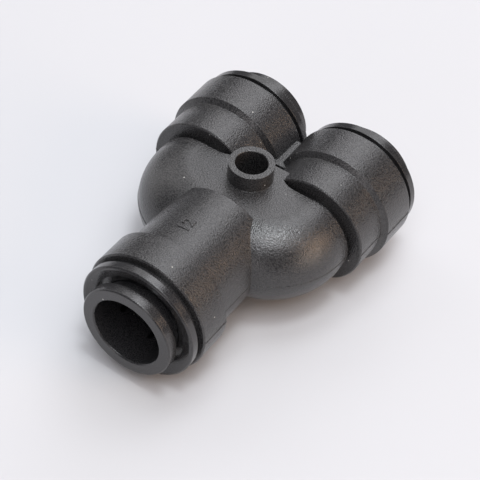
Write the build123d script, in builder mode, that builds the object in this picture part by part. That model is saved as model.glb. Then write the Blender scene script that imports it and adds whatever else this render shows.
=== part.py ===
from build123d import *
import os
from math import cos, radians, sin

# An equal Y connector for 12 mm tube. Each of its three ports grips the tube by pushing it in.
# The frame: the origin lies on the fixing hole's axis, in the plane of the three port axes.
# +Z runs up the fixing hole, the inlet opens towards -Y and the two outlets towards +Y.

# Driving dimensions, in millimetres
tube_radius = 6.0
tube_clearance = 0.15
port_pitch = 21.35

inlet_rim_y = -28.23
inlet_socket_back_y = -22.07
stem_end_y = -7.65
outlet_rim_y = 16.54

socket_radius = 11.04
stem_radius = 9.8
barrel_radius = 9.9
barrel_wide_radius = 9.97
socket_back_radius = 10.92
elbow_radius = 8.0
neck_radius = 6.9
edge_break = 0.22
stem_end_round = 0.4

bend_radius = 6.18
bend_y = -0.36
elbow_end_y = 1.58
barrel_start_y = 2.6
flare_start_y = 8.93
flare_end_y = 9.6

web_half_height = 7.98
web_shoulder_x = 7.6
web_throat_x = 4.7
web_half_width = 5.2
web_back_y = 4.45
rib_half_height = 4.1
rib_half_width = 3.0
rib_front_y = 8.5
rib_back_y = 15.45

boss_radius = 3.83
boss_half_height = 10.92
fixing_hole_radius = 2.7
hole_chamfer = 0.1

# Hollows of a port, as radii and as depths below its rim
entry_radius = 9.3
entry_depth = 4.6
entry_chamfer = 0.3
snap_depth = 2.5
snap_half_width = 0.45
snap_height = 0.25
seal_seat_radius = 8.1
seal_seat_depth = 9.5
tube_pocket_radius = tube_radius + tube_clearance
tube_stop_depth = 12.8
pocket_chamfer = 0.5

inlet_passage_radius = 4.5
branch_passage_radius = 3.8
branch_cross_y = -7.6

# End cap, as radii and as heights above the rim
cap_neck_radius = 9.75
cap_back = 1.08
cap_front = 2.6
cap_radius = 10.55
cap_crest_radius = 9.93
cap_crest_break = 0.25
cap_lip_height = 2.1
cap_recess_radius = 8.45
cap_recess_floor = 1.2
cap_throat_radius = 7.05
cap_throat_end = 0.5
cap_cone_radius = 8.0
cap_length_inside = 3.8
press_gap = 0.02

# Collet
collet_bore_radius = tube_radius + tube_clearance
collet_flange_radius = 8.28
collet_flange_thickness = 2.0
collet_shaft_radius = cap_throat_radius - 0.1
collet_bulge_radius = 7.55
collet_length = 10.0
collet_edge = 0.2
finger_count = 6
slit_width = 1.0
slit_length = 3.8

# Heights above the collet's inner end
bulge_start = 0.4
bulge_end = 2.2
ramp_end = 4.2

# Grip tooth: a steel wedge that leans inwards, in each finger of a collet
tooth_root_radius = 7.1
tooth_tip_radius = tube_radius - 0.05
tooth_root_height = 2.2
tooth_root_thickness = 0.5
tooth_tip_height = 1.0
tooth_width = 2.6

# O-ring
seal_wire_radius = 1.05
seal_inner_radius = tube_radius - 0.05
seal_gap = 0.05

# Port name: the port's x, its rim's y, its direction along Y, and how far its collet stands out
half_pitch = port_pitch / 2
ports = {
    "inlet": (0, inlet_rim_y, -1, 5.43),
    "left_outlet": (-half_pitch, outlet_rim_y, 1, 5.79),
    "right_outlet": (half_pitch, outlet_rim_y, 1, 5.06),
}
collet_turn = {"inlet": 5, "left_outlet": 40, "right_outlet": -5}


def port_axis(port):
    x, rim_y, way, _ = ports[port]
    return Axis((x, rim_y, 0), (0, way, 0))


def section_plane(port, turn=0):
    """A plane through the port's axis: local X is the radius, local Y the height above the rim."""
    x, rim_y, way, _ = ports[port]
    a = radians(turn)
    return Plane(
        origin=(x, rim_y, 0),
        x_dir=(cos(a), 0, sin(a)),
        z_dir=(-way * sin(a), 0, way * cos(a)),
    )


def side_plane(port, turn):
    """A plane through the port's axis that faces outwards: local Y is the height above the rim."""
    x, rim_y, way, _ = ports[port]
    a = radians(turn)
    return Plane(
        origin=(x, rim_y, 0),
        x_dir=(way * sin(a), 0, -way * cos(a)),
        z_dir=(cos(a), 0, sin(a)),
    )


def keep(part, name):
    part.label = name
    export_step(part, f"parts/{name}.step")


def make_body():
    outlets = [port for port in ports if port != "inlet"]
    stem_length = inlet_rim_y - stem_end_y
    outlet_length = outlet_rim_y - barrel_start_y

    with BuildPart() as body:
        # The stem, with the inlet's wider socket at its end
        with BuildSketch(section_plane("inlet")) as stem:
            with BuildLine():
                Polyline(
                    (0, 0),
                    (socket_radius, 0),
                    (socket_radius, inlet_rim_y - inlet_socket_back_y),
                    (stem_radius, inlet_rim_y - inlet_socket_back_y),
                    (stem_radius, stem_length),
                    (0, stem_length),
                    close=True,
                )
            make_face()
            wide = stem.vertices().filter_by_position(Axis.X, socket_radius, socket_radius)
            end = stem.vertices().filter_by_position(Axis.X, stem_radius, stem_radius)
            chamfer(wide, edge_break)
            fillet(end.sort_by(Axis.Y)[0], stem_end_round)
        revolve(axis=port_axis("inlet"))

        # The branch: a straight stretch across, then a quarter bend and a short leg to each outlet
        with BuildSketch(Plane.YZ.offset(-half_pitch + bend_radius)):
            with Locations((bend_y - bend_radius, 0)):
                Circle(elbow_radius)
        extrude(amount=2 * (half_pitch - bend_radius))
        for side in (-1, 1):
            bend_x = side * (half_pitch - bend_radius)
            bend_plane = Plane(origin=(bend_x, bend_y, 0), x_dir=(0, -1, 0), z_dir=(-1, 0, 0))
            with BuildSketch(bend_plane):
                with Locations((bend_radius, 0)):
                    Circle(elbow_radius)
                with Locations((0, 0)):
                    Rectangle(
                        4 * elbow_radius,
                        4 * elbow_radius,
                        align=(Align.MIN, Align.CENTER),
                        mode=Mode.INTERSECT,
                    )
            revolve(axis=Axis((bend_x, bend_y, 0), (0, 0, side)), revolution_arc=90)
            with BuildSketch(Plane.XZ.offset(-bend_y)):
                with Locations((side * half_pitch, 0)):
                    Circle(elbow_radius)
            extrude(amount=-(elbow_end_y - bend_y))
            with BuildSketch(Plane.XZ.offset(-bend_y)):
                with Locations((side * half_pitch, 0)):
                    Circle(neck_radius)
            extrude(amount=-(barrel_start_y - bend_y) - 1)

        # The outlets: a barrel over the tube's end, flaring to the wide socket
        for port in outlets:
            with BuildSketch(section_plane(port)) as barrel:
                with BuildLine():
                    Polyline(
                        (0, 0),
                        (socket_radius, 0),
                        (socket_back_radius, flare_end_y - outlet_rim_y),
                        (barrel_wide_radius, flare_start_y - outlet_rim_y),
                        (barrel_radius, -outlet_length),
                        (0, -outlet_length),
                        close=True,
                    )
                make_face()
                wide = barrel.vertices().filter_by_position(Axis.X, socket_radius, socket_radius)
                end = barrel.vertices().filter_by_position(Axis.X, barrel_radius, barrel_radius)
                chamfer(wide + end, edge_break)
            revolve(axis=port_axis(port))

        # The web that fills the fork as high as the elbows. An open slot parts it from the rib,
        # which is lower and joins the two outlets
        with BuildSketch(Plane.XY.offset(-web_half_height)):
            with BuildLine():
                bend_x = half_pitch - bend_radius
                cross_y = bend_y - bend_radius
                left_shoulder = (-web_shoulder_x, elbow_end_y)
                left_throat = (-web_throat_x, barrel_start_y)
                right_shoulder = (web_shoulder_x, elbow_end_y)
                right_throat = (web_throat_x, barrel_start_y)
                Polyline((-half_pitch, bend_y), (-half_pitch, elbow_end_y), left_shoulder)
                TangentArc(left_shoulder, left_throat, tangent=(1, 0))
                Polyline(
                    left_throat,
                    (-web_half_width, barrel_start_y),
                    (-web_half_width, web_back_y),
                    (web_half_width, web_back_y),
                    (web_half_width, barrel_start_y),
                    right_throat,
                )
                TangentArc(right_shoulder, right_throat, tangent=(-1, 0))
                Polyline(right_shoulder, (half_pitch, elbow_end_y), (half_pitch, bend_y))
                CenterArc((bend_x, bend_y), bend_radius, 0, -90)
                Line((bend_x, cross_y), (-bend_x, cross_y))
                CenterArc((-bend_x, bend_y), bend_radius, 180, 90)
            make_face()
        extrude(amount=2 * web_half_height)
        with BuildSketch(Plane.XY.offset(-rib_half_height)):
            with Locations((0, rib_front_y)):
                Rectangle(2 * rib_half_width, rib_back_y - rib_front_y, align=(Align.CENTER, Align.MIN))
        extrude(amount=2 * rib_half_height)

        # The fixing boss, standing out of both faces of the web
        with BuildSketch(Plane.XY.offset(-boss_half_height)):
            Circle(boss_radius)
        extrude(amount=2 * boss_half_height)

        # The hollow of each port
        for port in ports:
            with BuildSketch(section_plane(port)):
                with BuildLine():
                    Polyline(
                        (0, 1),
                        (entry_radius + entry_chamfer, 1),
                        (entry_radius + entry_chamfer, 0),
                        (entry_radius, -entry_chamfer),
                        (entry_radius, -snap_depth + snap_half_width),
                        (entry_radius + snap_height, -snap_depth + snap_half_width - snap_height),
                        (entry_radius + snap_height, -snap_depth - snap_half_width + snap_height),
                        (entry_radius, -snap_depth - snap_half_width),
                        (entry_radius, -entry_depth),
                        (seal_seat_radius, -entry_depth),
                        (seal_seat_radius, -seal_seat_depth),
                        (tube_pocket_radius + pocket_chamfer, -seal_seat_depth),
                        (tube_pocket_radius, -seal_seat_depth - pocket_chamfer),
                        (tube_pocket_radius, -tube_stop_depth),
                        (0, -tube_stop_depth),
                        close=True,
                    )
                make_face()
            revolve(axis=port_axis(port), mode=Mode.SUBTRACT)

        # The passages that join the three tube stops
        with BuildSketch(Plane.XZ.offset(-(inlet_rim_y + tube_stop_depth - 1))):
            Circle(inlet_passage_radius)
        extrude(amount=-(branch_cross_y - inlet_rim_y - tube_stop_depth + 1), mode=Mode.SUBTRACT)
        passage_bend = bend_y - branch_cross_y
        passage_bend_x = half_pitch - passage_bend
        with BuildLine() as route:
            Line((-half_pitch, outlet_rim_y - tube_stop_depth + 1), (-half_pitch, bend_y))
            CenterArc((-passage_bend_x, bend_y), passage_bend, 180, 90)
            Line((-passage_bend_x, branch_cross_y), (passage_bend_x, branch_cross_y))
            CenterArc((passage_bend_x, bend_y), passage_bend, 270, 90)
            Line((half_pitch, bend_y), (half_pitch, outlet_rim_y - tube_stop_depth + 1))
        with BuildSketch(Plane(route.line @ 0, z_dir=route.line % 0)):
            Circle(branch_passage_radius)
        sweep(path=route.line, mode=Mode.SUBTRACT)

        # The fixing hole, with both its mouths chamfered
        with BuildSketch(Plane.XZ):
            with BuildLine():
                Polyline(
                    (0, -boss_half_height),
                    (fixing_hole_radius + hole_chamfer, -boss_half_height),
                    (fixing_hole_radius, -boss_half_height + hole_chamfer),
                    (fixing_hole_radius, boss_half_height - hole_chamfer),
                    (fixing_hole_radius + hole_chamfer, boss_half_height),
                    (0, boss_half_height),
                    close=True,
                )
            make_face()
        revolve(axis=Axis.Z, mode=Mode.SUBTRACT)
    keep(body.part, "body")


def make_end_cap(port):
    """The cap snaps into the port's entry; its cone closes the collet's fingers on the tube."""
    spigot_radius = entry_radius - press_gap
    snap_radius = spigot_radius + snap_height
    with BuildPart() as end_cap:
        with BuildSketch(section_plane(port)) as section:
            with BuildLine():
                Polyline(
                    (cap_throat_radius, cap_recess_floor),
                    (cap_throat_radius, cap_throat_end),
                    (cap_cone_radius, -cap_length_inside),
                    (spigot_radius - edge_break, -cap_length_inside),
                    (spigot_radius, -cap_length_inside + edge_break),
                    (spigot_radius, -snap_depth - snap_half_width),
                    (snap_radius, -snap_depth - snap_half_width + snap_height),
                    (snap_radius, -snap_depth + snap_half_width - snap_height),
                    (spigot_radius, -snap_depth + snap_half_width),
                    (spigot_radius, 0),
                    (cap_neck_radius, 0),
                    (cap_neck_radius, cap_back),
                    (cap_radius, cap_back),
                    (cap_radius, cap_front),
                    (cap_crest_radius, cap_front),
                    (cap_recess_radius, cap_lip_height),
                    (cap_recess_radius, cap_recess_floor),
                    close=True,
                )
            make_face()
            front = section.vertices().filter_by_position(Axis.Y, cap_front, cap_front)
            chamfer(front.sort_by(Axis.X)[-1], cap_crest_break)
        revolve(axis=port_axis(port))
    keep(end_cap.part, f"{port}_end_cap")


def tooth_section(inner_end):
    """The outline of a grip tooth, for a collet whose inner end is at this height."""
    Polyline(
        (tooth_root_radius, inner_end + tooth_root_height),
        (tooth_root_radius, inner_end + tooth_root_height - tooth_root_thickness),
        (tooth_tip_radius, inner_end + tooth_tip_height),
        close=True,
    )


def make_collet(port):
    """The sliding release collet, slit into fingers that each hold a grip tooth."""
    stands_out = ports[port][3]
    flange_back = stands_out - collet_flange_thickness
    inner_end = stands_out - collet_length
    pitch = 360 / finger_count
    with BuildPart() as collet:
        with BuildSketch(section_plane(port)) as section:
            with BuildLine():
                Polyline(
                    (collet_bore_radius, inner_end),
                    (collet_bore_radius, stands_out - collet_edge),
                    (collet_bore_radius + collet_edge, stands_out),
                    (collet_flange_radius, stands_out),
                    (collet_flange_radius, flange_back),
                    (collet_shaft_radius, flange_back),
                    (collet_shaft_radius, inner_end + ramp_end),
                    (collet_bulge_radius, inner_end + bulge_end),
                    (collet_bulge_radius, inner_end + bulge_start),
                    (collet_bulge_radius - bulge_start, inner_end),
                    close=True,
                )
            make_face()
            rim = section.vertices().filter_by_position(Axis.X, collet_flange_radius, collet_flange_radius)
            chamfer(rim, collet_edge)
        revolve(axis=port_axis(port))
        for finger in range(finger_count):
            turn = collet_turn[port] + finger * pitch
            with BuildSketch(side_plane(port, turn + pitch / 2)):
                with Locations((0, inner_end + slit_length)):
                    Circle(slit_width / 2)
                    Rectangle(slit_width, 2 * slit_length, align=(Align.CENTER, Align.MAX))
            extrude(amount=collet_flange_radius, mode=Mode.SUBTRACT)
            with BuildSketch(section_plane(port, turn)):
                with BuildLine():
                    tooth_section(inner_end)
                make_face()
            extrude(amount=tooth_width / 2, both=True, mode=Mode.SUBTRACT)
    keep(collet.part, f"{port}_collet")


def make_grip_tooth(port, finger):
    inner_end = ports[port][3] - collet_length
    turn = collet_turn[port] + finger * 360 / finger_count
    with BuildPart() as grip_tooth:
        with BuildSketch(section_plane(port, turn)):
            with BuildLine():
                tooth_section(inner_end)
            make_face()
        extrude(amount=tooth_width / 2, both=True)
    keep(grip_tooth.part, f"{port}_grip_tooth_{finger + 1}")


def make_o_ring(port):
    with BuildPart() as o_ring:
        with BuildSketch(section_plane(port)):
            with Locations((seal_inner_radius + seal_wire_radius, seal_wire_radius + seal_gap - seal_seat_depth)):
                Circle(seal_wire_radius)
        revolve(axis=port_axis(port))
    keep(o_ring.part, f"{port}_o_ring")


os.makedirs("parts", exist_ok=True)
make_body()
for port in ports:
    make_end_cap(port)
    make_collet(port)
    make_o_ring(port)
    for finger in range(finger_count):
        make_grip_tooth(port, finger)
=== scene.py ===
# %% [markdown]
# # A push-fit Y connector in black plastic
# The connector takes a 12 mm tube in each of its three ports. Its solids come from the CAD model, so
# this lesson is about the finish: the spark-eroded skin of the moulding, the smoother caps and
# collets, the rubber seals and the steel teeth, and the light that makes black plastic readable.
# Two small marks of the mould are added as well: the parting line and a raised number.
# The first cell loads the solids as a fixed frame. They are never moved or reshaped here.

# %% Load the solids
import math

import bpy
from mathutils import Matrix, Vector


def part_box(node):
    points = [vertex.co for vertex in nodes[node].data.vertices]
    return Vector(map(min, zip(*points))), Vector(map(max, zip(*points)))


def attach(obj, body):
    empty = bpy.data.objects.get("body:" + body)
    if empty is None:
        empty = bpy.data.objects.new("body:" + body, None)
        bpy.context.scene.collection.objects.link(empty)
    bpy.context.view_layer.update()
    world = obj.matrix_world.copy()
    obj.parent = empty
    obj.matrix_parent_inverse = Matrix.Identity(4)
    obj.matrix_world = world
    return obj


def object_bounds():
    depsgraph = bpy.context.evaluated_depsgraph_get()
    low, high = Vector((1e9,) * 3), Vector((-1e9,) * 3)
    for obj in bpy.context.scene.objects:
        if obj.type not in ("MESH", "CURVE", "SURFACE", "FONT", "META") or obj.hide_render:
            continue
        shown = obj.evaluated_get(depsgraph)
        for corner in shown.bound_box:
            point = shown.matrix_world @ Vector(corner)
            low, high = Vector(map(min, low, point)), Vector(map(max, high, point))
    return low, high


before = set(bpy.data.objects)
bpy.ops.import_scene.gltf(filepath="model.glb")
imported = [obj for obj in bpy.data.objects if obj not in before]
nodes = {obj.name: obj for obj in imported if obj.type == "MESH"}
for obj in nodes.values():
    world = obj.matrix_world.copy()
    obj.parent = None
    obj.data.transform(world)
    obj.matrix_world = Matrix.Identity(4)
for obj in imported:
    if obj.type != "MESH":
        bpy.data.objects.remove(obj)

cad_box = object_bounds()
ports = ("inlet", "left_outlet", "right_outlet")
print("box", [round(1000 * (high - low), 2) for low, high in zip(*cad_box)], "mm")

# %% [markdown]
# ## The camera
# A small object needs a long lens, or its near port looks swollen. The camera stands about 28 cm
# away, a little to the right and 46 degrees up, and leans by six degrees. Its axes are written
# down from those angles, because a track-to constraint couldn't give the lean.

# %% Camera
azimuth = math.radians(29.65)
elevation = math.radians(46.19)
lean = math.radians(5.88)
camera_distance = 0.27588
target = Vector((0.002917, -0.00636, 0.0))
sensor_width_mm = 36.0
focal_length_mm = 127.03

backwards = Vector(
    (
        math.sin(azimuth) * math.cos(elevation),
        -math.cos(azimuth) * math.cos(elevation),
        math.sin(elevation),
    )
)
level_right = Vector((0, 0, 1)).cross(backwards).normalized()
level_up = backwards.cross(level_right)
right = math.cos(lean) * level_right + math.sin(lean) * level_up
up = math.cos(lean) * level_up - math.sin(lean) * level_right

camera = bpy.data.objects.new("camera", bpy.data.cameras.new("camera"))
bpy.context.scene.collection.objects.link(camera)
camera.data.sensor_width = sensor_width_mm
camera.data.lens = focal_length_mm
camera.data.clip_start = 0.01
camera.data.clip_end = 10
camera.matrix_world = Matrix.Translation(target + backwards * camera_distance) @ Matrix(
    (right, up, backwards)
).transposed().to_4x4()
bpy.context.scene.camera = camera
print("camera at", [round(1000 * v) for v in camera.location], "mm")

# %% [markdown]
# ## The floor
# The connector lies on a plain pale sheet. The floor is large, so that its edge never shows, and
# nearly matt, so that it keeps the soft shadow and fills the undersides with light.

# %% Floor
floor_height = cad_box[0].z
floor_size = 6.0
floor_grey = (0.58, 0.58, 0.60, 1)


def deselect_all():
    """Operators act on all that is selected, so each step starts with nothing selected."""
    for thing in bpy.context.selected_objects:
        thing.select_set(False)
    bpy.context.view_layer.objects.active = None


deselect_all()
bpy.ops.mesh.primitive_plane_add(size=floor_size, location=(0, 0, floor_height))
floor = bpy.context.object
floor.name = "floor"

floor_paint = bpy.data.materials.new("floor_paint")
floor_paint.use_nodes = True
floor_shader = floor_paint.node_tree.nodes["Principled BSDF"]
floor_shader.inputs["Base Color"].default_value = floor_grey
floor_shader.inputs["Roughness"].default_value = 0.75
floor_shader.inputs["Specular IOR Level"].default_value = 0.2
floor.data.materials.append(floor_paint)
print("floor at", round(1000 * floor_height, 2), "mm")

# %% [markdown]
# ## The room
# Far from the object the camera sees past the floor, so the world has two backgrounds. A faint one
# lights the object, and a plain pale one is only there for rays that come straight from the camera
# or through something clear. A Light Path node chooses between them.

# %% Room
room_glow = (0.80, 0.81, 0.85, 1)
room_glow_strength = 0.16
backdrop_colour = (0.82, 0.82, 0.86, 1)

world = bpy.data.worlds.new("room")
bpy.context.scene.world = world
world.use_nodes = True
room = world.node_tree
room_light = room.nodes["Background"]
room_light.inputs["Color"].default_value = room_glow
room_light.inputs["Strength"].default_value = room_glow_strength
backdrop = room.nodes.new("ShaderNodeBackground")
backdrop.inputs["Color"].default_value = backdrop_colour
backdrop.inputs["Strength"].default_value = 1.0
ray = room.nodes.new("ShaderNodeLightPath")
seen = room.nodes.new("ShaderNodeMath")
seen.operation = "MAXIMUM"
room.links.new(ray.outputs["Is Camera Ray"], seen.inputs[0])
room.links.new(ray.outputs["Is Transmission Ray"], seen.inputs[1])
choice = room.nodes.new("ShaderNodeMixShader")
room.links.new(seen.outputs[0], choice.inputs["Fac"])
room.links.new(room_light.outputs[0], choice.inputs[1])
room.links.new(backdrop.outputs[0], choice.inputs[2])
room.links.new(choice.outputs[0], room.nodes["World Output"].inputs["Surface"])
print("room glow", room_glow_strength)

# %% [markdown]
# ## The lamps
# Black plastic shows almost no colour of its own: what we see is the room in its skin. So the room
# is planned as carefully as the object. One compact lamp overhead gives the bright spot on each
# elbow, larger ones round it lift the tops, and low strips draw the flanks. On the right stand a
# brown wall and a warm strip, whose reflection tints the stem and the right elbow. Each lamp is a
# disc that shows as a reflection of its own size, so brightness is given per area, and the power
# follows from it.

# %% Lamps
lamp_distance = 1.0


def hang_lamp(name, azimuth, elevation, size, brightness, colour):
    """A round lamp that faces the object. Azimuth runs from +Y towards +X, and both are degrees."""
    turn, rise = math.radians(azimuth), math.radians(elevation)
    lamp = bpy.data.objects.new(name, bpy.data.lights.new(name, "AREA"))
    bpy.context.scene.collection.objects.link(lamp)
    lamp.data.shape = "DISK"
    lamp.data.size = size
    lamp.data.energy = brightness * (math.pi * size / 2) ** 2
    lamp.data.color = colour
    direction = Vector((math.sin(turn) * math.cos(rise), math.cos(turn) * math.cos(rise), math.sin(rise)))
    lamp.location = lamp_distance * direction
    lamp.rotation_mode = "QUATERNION"
    lamp.rotation_quaternion = direction.to_track_quat("Z", "Y")
    print("lamp", name, "of", round(lamp.data.energy, 2), "W")


hang_lamp("overhead_lamp", 112, 80, 0.22, 22.0, (0.93, 0.98, 1.0))
hang_lamp("overhead_fill", 300, 80, 0.36, 4.5, (0.92, 0.97, 1.0))
hang_lamp("front_overhead", 155, 64, 0.60, 4.5, (0.95, 0.96, 1.0))
hang_lamp("back_overhead", 5, 64, 0.60, 2.1, (0.94, 0.95, 1.0))
hang_lamp("right_overhead", 88, 62, 0.60, 1.8, (1.0, 0.96, 0.96))
hang_lamp("back_softbox", 345, 43, 0.90, 1.4, (0.98, 0.98, 1.0))
hang_lamp("left_softbox", 285, 40, 0.60, 1.3, (1.0, 0.98, 0.98))
hang_lamp("brown_wall", 75, 28, 0.50, 3.8, (1.0, 0.70, 0.48))
hang_lamp("right_strip", 92, 9, 0.50, 3.3, (1.0, 0.83, 0.70))
hang_lamp("front_strip", 175, 10, 0.50, 2.4, (1.0, 0.94, 0.96))
hang_lamp("left_strip", 270, 10, 0.60, 1.0, (1.0, 0.98, 0.98))
hang_lamp("back_strip", 345, 12, 0.80, 1.3, (0.95, 0.93, 1.0))

# %% [markdown]
# ## Helpers for shader nodes
# Nodes could be dragged together by hand, but in code a few helpers keep each effect down to the
# lines that say what it does.

# %% Node helpers


def new_group(name, inputs, outputs):
    """A shader node group with named sockets. Each input is (name, kind, default value)."""
    group = bpy.data.node_groups.new(name, "ShaderNodeTree")
    for label, kind, value in inputs:
        socket = group.interface.new_socket(label, in_out="INPUT", socket_type=kind)
        if value is not None:
            socket.default_value = value
    for label, kind in outputs:
        group.interface.new_socket(label, in_out="OUTPUT", socket_type=kind)
    return group, group.nodes.new("NodeGroupInput"), group.nodes.new("NodeGroupOutput")


def maths(tree, operation, first, second):
    """A Math node. Each operand is a socket or a number."""
    node = tree.nodes.new("ShaderNodeMath")
    node.operation = operation
    for slot, operand in enumerate((first, second)):
        if isinstance(operand, (int, float)):
            node.inputs[slot].default_value = operand
        else:
            tree.links.new(operand, node.inputs[slot])
    return node.outputs[0]


def remap(tree, value, from_low, from_high, to_low, to_high):
    """A Map Range node that clamps."""
    node = tree.nodes.new("ShaderNodeMapRange")
    for label, number in (
        ("From Min", from_low),
        ("From Max", from_high),
        ("To Min", to_low),
        ("To Max", to_high),
    ):
        node.inputs[label].default_value = number
    tree.links.new(value, node.inputs["Value"])
    return node.outputs["Result"]


def noise(tree, vector, scale, detail, roughness=0.5):
    """A Noise Texture node, whose scale is a socket."""
    node = tree.nodes.new("ShaderNodeTexNoise")
    tree.links.new(vector, node.inputs["Vector"])
    tree.links.new(scale, node.inputs["Scale"])
    node.inputs["Detail"].default_value = detail
    node.inputs["Roughness"].default_value = roughness
    return node.outputs["Fac"]


# %% [markdown]
# ## Spark-eroded grain
# The skin of a moulded part is a copy of its mould. The mould of the body was roughened with
# sparks, which left overlapping craters of about the same size. One plain noise gives the craters
# and a second, about twice as coarse, keeps them from looking printed. The group puts out the
# height for a bump and a mask of the pits. The materials use the mask to paint the grain's light
# into the colour: one tone in the pits and another on the lands stand in for the shade and the
# sparkle of the craters. The caps, collets and seals use the same group with a shallower grain.

# %% Grain group
coarse_grain_share = 0.2
coarse_grain_scale = 0.45
# The range of the pit mask, with which the materials paint the grain's shade and sparkle into the colour.
pit_floor, pit_brim = 0.4, 0.6

grain, grain_in, grain_out = new_group(
    "Spark_Eroded_Grain",
    [("Vector", "NodeSocketVector", None), ("Grains per mm", "NodeSocketFloat", 4.0)],
    [("Height", "NodeSocketFloat"), ("Painted pit shading", "NodeSocketFloat")],
)
fine_scale = grain_in.outputs["Grains per mm"]
fine = noise(grain, grain_in.outputs["Vector"], fine_scale, 0.0)
coarse_scale = maths(grain, "MULTIPLY", fine_scale, coarse_grain_scale)
coarse = noise(grain, grain_in.outputs["Vector"], coarse_scale, 1.0)
grain_height = maths(
    grain,
    "ADD",
    maths(grain, "MULTIPLY", fine, 1 - coarse_grain_share),
    maths(grain, "MULTIPLY", coarse, coarse_grain_share),
)
grain.links.new(grain_height, grain_out.inputs["Height"])
# The pit mask: it marks where painted shade and painted sparkle of the grain go into the colour.
grain.links.new(remap(grain, fine, pit_floor, pit_brim, 0, 1), grain_out.inputs["Painted pit shading"])
print("group", grain.name)

# %% [markdown]
# ## Handling marks
# A part that has been in a hand is never evenly glossy. A soft noise gives the smudges that dull it
# in patches, and a Voronoi texture, cut down to the very middle of its cells, gives the few specks
# of dust that cling to the plastic.

# %% Handling group
smudge_low, smudge_high = 0.35, 0.65
specks_per_mm = 0.35
speck_core, speck_rim = 0.03, 0.045

handling, handling_in, handling_out = new_group(
    "Handling_Marks",
    [("Vector", "NodeSocketVector", None), ("Patch size in mm", "NodeSocketFloat", 8.0)],
    [("Smudge", "NodeSocketFloat"), ("Dust", "NodeSocketFloat")],
)
patch_scale = maths(handling, "DIVIDE", 1.0, handling_in.outputs["Patch size in mm"])
smudge = noise(handling, handling_in.outputs["Vector"], patch_scale, 4.0, 0.55)
smudge_mask = remap(handling, smudge, smudge_low, smudge_high, 0, 1)
handling.links.new(smudge_mask, handling_out.inputs["Smudge"])
speck = handling.nodes.new("ShaderNodeTexVoronoi")
speck.feature = "F1"
speck.inputs["Scale"].default_value = specks_per_mm
handling.links.new(handling_in.outputs["Vector"], speck.inputs["Vector"])
speck_mask = remap(handling, speck.outputs["Distance"], speck_core, speck_rim, 1, 0)
handling.links.new(speck_mask, handling_out.inputs["Dust"])
print("group", handling.name)

# %% [markdown]
# ## Moulded edges
# No edge of a moulding is sharp, and its radius is what catches the light. The larger breaks are
# in the solids. The last tenth or two of a millimetre comes from a Bevel node, which bends the
# normal near an edge and costs no faces.

# %% Edge group
bevel_samples = 6

edges, edges_in, edges_out = new_group(
    "Moulded_Edges",
    [("Radius", "NodeSocketFloat", 0.0002)],
    [("Normal", "NodeSocketVector")],
)
rounded = edges.nodes.new("ShaderNodeBevel")
rounded.samples = bevel_samples
edges.links.new(edges_in.outputs["Radius"], rounded.inputs["Radius"])
edges.links.new(rounded.outputs["Normal"], edges_out.inputs["Normal"])
print("group", edges.name)

# %% [markdown]
# ## The recipe for plastic
# The plastics share one recipe: a nearly black colour with the grain's shade and sparkle painted
# into it, a little dust, a gloss that the smudges dull, and the grain as a bump on top of the
# rounded edges. The refractive index and the specular level are the same all over, so they are set
# on the shader itself.

# %% Plastic recipe
plastic_ior = 1.5
plastic_specular = 0.68
smudge_size_mm = 7.0
dust_colour = (0.5, 0.49, 0.46)


def place(tree, group, **values):
    """A group node with its own values. An underscore in a keyword stands for a space."""
    node = tree.nodes.new("ShaderNodeGroup")
    node.node_tree = group
    for label, value in values.items():
        node.inputs[label.replace("_", " ")].default_value = value
    return node


def millimetres(tree):
    """Object coordinates, scaled so that a texture's scale counts in millimetres."""
    where = tree.nodes.new("ShaderNodeTexCoord")
    scaled = tree.nodes.new("ShaderNodeMapping")
    scaled.inputs["Scale"].default_value = (1000, 1000, 1000)
    tree.links.new(where.outputs["Object"], scaled.inputs["Vector"])
    return scaled.outputs["Vector"]


def blend_colours(tree, amount, first, second):
    """A Mix node for colours. Each colour is a socket or three numbers."""
    node = tree.nodes.new("ShaderNodeMix")
    node.data_type = "RGBA"
    tree.links.new(amount, node.inputs["Factor"])
    for label, colour in ((6, first), (7, second)):
        if isinstance(colour, tuple):
            node.inputs[label].default_value = (*colour, 1)
        else:
            tree.links.new(colour, node.inputs[label])
    return node.outputs[2]


def plastic(name, pit_shading_colour, land_shading_colour, grains, depth, gloss, edge_radius):
    """Black moulded plastic.

    The first two colours are the tones low and high in the grain, painted to stand in for the
    grain's shade and sparkle; grains counts the grains per millimetre, depth is the bump's in
    metres, and gloss is (roughness where clean, roughness where smudged).
    """
    material = bpy.data.materials.new(name)
    material.use_nodes = True
    tree = material.node_tree
    shader = tree.nodes["Principled BSDF"]
    shader.inputs["IOR"].default_value = plastic_ior
    shader.inputs["Specular IOR Level"].default_value = plastic_specular
    vector = millimetres(tree)

    skin = place(tree, grain, Grains_per_mm=grains)
    marks = place(tree, handling, Patch_size_in_mm=smudge_size_mm)
    edge = place(tree, edges, Radius=edge_radius)
    tree.links.new(vector, skin.inputs["Vector"])
    tree.links.new(vector, marks.inputs["Vector"])

    # The grain's shade and sparkle are painted into the colour: one tone in the pits, another on the
    # lands.
    colour = blend_colours(tree, skin.outputs["Painted pit shading"], pit_shading_colour, land_shading_colour)
    # Real dust specks go on top of the painted grain shading.
    dust_and_grain_shading = blend_colours(tree, marks.outputs["Dust"], colour, dust_colour)
    tree.links.new(dust_and_grain_shading, shader.inputs["Base Color"])

    clean, smudged = gloss
    roughness = remap(tree, marks.outputs["Smudge"], 0, 1, clean, smudged)
    tree.links.new(roughness, shader.inputs["Roughness"])

    bump = tree.nodes.new("ShaderNodeBump")
    bump.inputs["Distance"].default_value = depth
    tree.links.new(skin.outputs["Height"], bump.inputs["Height"])
    tree.links.new(edge.outputs["Normal"], bump.inputs["Normal"])
    tree.links.new(bump.outputs["Normal"], shader.inputs["Normal"])
    print("material", name)
    return material
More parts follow.
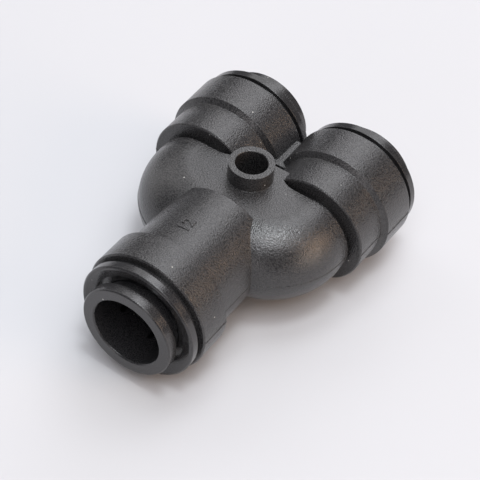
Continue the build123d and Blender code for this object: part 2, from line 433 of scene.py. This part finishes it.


# %% [markdown]
# ## The black plastics
# The body has the deepest grain and the softest gloss. The caps and collets come from polished
# moulds, so their grain is finer and shallower and their gloss is sharper.

# %% Body, cap and collet
# The pit and land tones of each plastic paint the grain's shade and sparkle into its colour.
body_skin = plastic(
    "body_skin",
    pit_shading_colour=(0.016, 0.0155, 0.0165),
    land_shading_colour=(0.041, 0.0395, 0.040),
    grains=5.0,
    depth=0.00007,
    gloss=(0.20, 0.26),
    edge_radius=0.00012,
)
cap_skin = plastic(
    "cap_skin",
    pit_shading_colour=(0.016, 0.0155, 0.017),
    land_shading_colour=(0.030, 0.029, 0.030),
    grains=6.0,
    depth=0.00002,
    gloss=(0.14, 0.22),
    edge_radius=0.0002,
)
collet_skin = plastic(
    "collet_skin",
    pit_shading_colour=(0.018, 0.0175, 0.019),
    land_shading_colour=(0.034, 0.033, 0.034),
    grains=6.0,
    depth=0.00002,
    gloss=(0.14, 0.22),
    edge_radius=0.0002,
)

# %% [markdown]
# ## Seal and teeth
# The O-ring is black rubber with a film of grease, and the teeth are stamped from bright spring
# strip. Both sit deep in the ports, where only a glimpse of them shows, so the same recipe serves
# with other numbers: finer grain for the rubber, and a metal's pale colour for the teeth.

# %% Rubber and steel
# Here too the pit and land tones paint the grain's shade and sparkle into the colour.
rubber = plastic(
    "seal_rubber",
    pit_shading_colour=(0.012, 0.012, 0.012),
    land_shading_colour=(0.02, 0.02, 0.02),
    grains=14.0,
    depth=0.000004,
    gloss=(0.22, 0.35),
    edge_radius=0.0001,
)
steel = plastic(
    "tooth_steel",
    pit_shading_colour=(0.55, 0.54, 0.52),
    land_shading_colour=(0.45, 0.44, 0.42),
    grains=16.0,
    depth=0.000003,
    gloss=(0.25, 0.4),
    edge_radius=0.0001,
)
steel.node_tree.nodes["Principled BSDF"].inputs["Metallic"].default_value = 1.0

# %% [markdown]
# ## Dressing the solids
# Each solid keeps its shape and gets its finish by name, port by port.

# %% Dress the solids


def dress(name, material):
    """Gives a solid its finish and leaves its mesh as it is."""
    node = nodes[name]
    node.data.materials.clear()
    node.data.materials.append(material)


dress("body", body_skin)
for port in ports:
    dress(f"{port}_end_cap", cap_skin)
    dress(f"{port}_collet", collet_skin)
    dress(f"{port}_o_ring", rubber)
for name in nodes:
    if "grip_tooth" in name:
        dress(name, steel)
print("dressed", sum(1 for node in nodes.values() if node.data.materials), "solids")

# %% [markdown]
# ## The parting line
# The two halves of the mould meet in the plane of the three ports, and plastic creeps a few
# hundredths of a millimetre into that joint. The result is a fine ridge along both flanks. A copy
# of the body is cut in that plane, so that the ridge follows the moulding exactly. The cut also
# runs round the hollows, so a small test tells the outside from the inside: on the stem and the
# outlets it is the distance from the port's axis, and on an elbow the distance from the centre of
# its bend.

# %% Where the outside is
outlet_seal_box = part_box("right_outlet_o_ring")
outlet_axis_x = (outlet_seal_box[0].x + outlet_seal_box[1].x) / 2
bend_radius = 0.00618
bend_centre = Vector((outlet_axis_x - bend_radius, -0.00036))
beyond_passage_bend = 0.0138
beyond_inlet_hollow = 0.0097
beyond_tube_pocket = 0.0065
beyond_outlet_hollow = 0.0097
stem_flank_end_y = -0.0134
outlet_hollow_start_y = 0.007


def on_outer_skin(point):
    """True where a point of the cut is on the outside of the moulding and not in a hollow."""
    x, y = abs(point.x), point.y
    if y < stem_flank_end_y:
        return x > beyond_inlet_hollow
    if y < bend_centre.y:
        return (Vector((x, y)) - bend_centre).length > beyond_passage_bend
    if y < outlet_hollow_start_y:
        return x > outlet_axis_x + beyond_tube_pocket
    return x > outlet_axis_x + beyond_outlet_hollow


print("outlet axis at", round(1000 * outlet_axis_x, 3), "mm")

# %% [markdown]
# A CAD mesh is loose triangles, so the copy is merged before it is cut. The bisect clears both
# sides, which leaves only the line of the cut, and its inner points are deleted.

# %% Cut the body in the parting plane
merge_distance = 0.000001
short_edge = 0.00001

deselect_all()
parting = bpy.data.objects.new("parting_line", nodes["body"].data.copy())
bpy.context.scene.collection.objects.link(parting)
parting.data.materials.clear()
parting.select_set(True)
bpy.context.view_layer.objects.active = parting
bpy.ops.object.mode_set(mode="EDIT")
bpy.ops.mesh.select_all(action="SELECT")
bpy.ops.mesh.remove_doubles(threshold=merge_distance)
bpy.ops.mesh.bisect(plane_co=(0, 0, 0), plane_no=(0, 0, 1), clear_inner=True, clear_outer=True)
bpy.ops.mesh.select_all(action="SELECT")
bpy.ops.mesh.remove_doubles(threshold=short_edge)
bpy.ops.mesh.select_all(action="DESELECT")
bpy.ops.object.mode_set(mode="OBJECT")
print("the cut has", len(parting.data.vertices), "points")

for vertex in parting.data.vertices:
    vertex.select = not on_outer_skin(vertex.co)
bpy.ops.object.mode_set(mode="EDIT")
bpy.ops.mesh.select_mode(type="VERT")
bpy.ops.mesh.delete(type="VERT")
bpy.ops.object.mode_set(mode="OBJECT")
print("the flanks have", len(parting.data.vertices), "points")

# %% [markdown]
# Each flank's line becomes a curve with a round bevel, and then a mesh again: a thin rod, half sunk
# in the skin. Its end caps are loose at first, so it is merged once more, which closes it. It has
# the body's own finish, so only its shape shows.

# %% Thicken the parting line
flash_radius = 0.00007

bpy.ops.object.convert(target="CURVE")
parting.data.bevel_depth = flash_radius
parting.data.bevel_resolution = 1
parting.data.use_fill_caps = True
print("flank lines", len(parting.data.splines))
bpy.ops.object.convert(target="MESH")
bpy.ops.object.mode_set(mode="EDIT")
bpy.ops.mesh.select_all(action="SELECT")
bpy.ops.mesh.remove_doubles(threshold=merge_distance)
bpy.ops.mesh.normals_make_consistent(inside=False)
bpy.ops.object.mode_set(mode="OBJECT")
parting.data.materials.append(body_skin)
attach(parting, "connector")

# %% [markdown]
# ## The size mark
# The tube size stands on top of the stem in small raised digits, engraved in the mould by hand.
# They start as a text object. It has its depth and a fine bevel first, and becomes a mesh before
# its place is applied.

# %% Raise the digits
digit_size = 0.003
digit_half_depth = 0.00015
digit_bevel = 0.00002

deselect_all()
bpy.ops.object.text_add()
mark = bpy.context.object
mark.name = "size_mark"
mark.data.body = "12"
mark.data.size = digit_size
mark.data.align_x = "CENTER"
mark.data.align_y = "CENTER"
mark.data.extrude = digit_half_depth
mark.data.bevel_depth = digit_bevel
bpy.ops.object.convert(target="MESH")
bpy.ops.object.mode_set(mode="EDIT")
bpy.ops.mesh.select_all(action="SELECT")
bpy.ops.mesh.remove_doubles(threshold=merge_distance)
bpy.ops.mesh.normals_make_consistent(inside=False)
bpy.ops.object.mode_set(mode="OBJECT")
print("digits have", len(mark.data.polygons), "faces")

# %% [markdown]
# The digits read along the stem. They are turned to face up, tilted a little round the stem's axis,
# and lifted until their tops stand just proud of the skin, with the rest sunk in the stem.

# %% Set the digits on the stem
stem_radius = 0.0098
mark_relief = 0.00012
mark_y = -0.0169
mark_tilt = math.radians(-5)
mark_centre_radius = stem_radius + mark_relief - (digit_half_depth + digit_bevel)

mark.rotation_mode = "ZYX"
mark.rotation_euler = (0, mark_tilt, math.radians(90))
mark.location = (
    mark_centre_radius * math.sin(mark_tilt),
    mark_y,
    mark_centre_radius * math.cos(mark_tilt),
)
bpy.ops.object.transform_apply(location=True, rotation=True, scale=True)
mark.rotation_mode = "XYZ"
mark.data.materials.append(body_skin)
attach(mark, "connector")
print("size mark", [round(1000 * v, 2) for v in mark.dimensions], "mm")

# %% [markdown]
# ## Finish
# The view stays on Standard, so a colour renders about as it is written.

# %% Output
bpy.context.scene.view_settings.view_transform = "Standard"
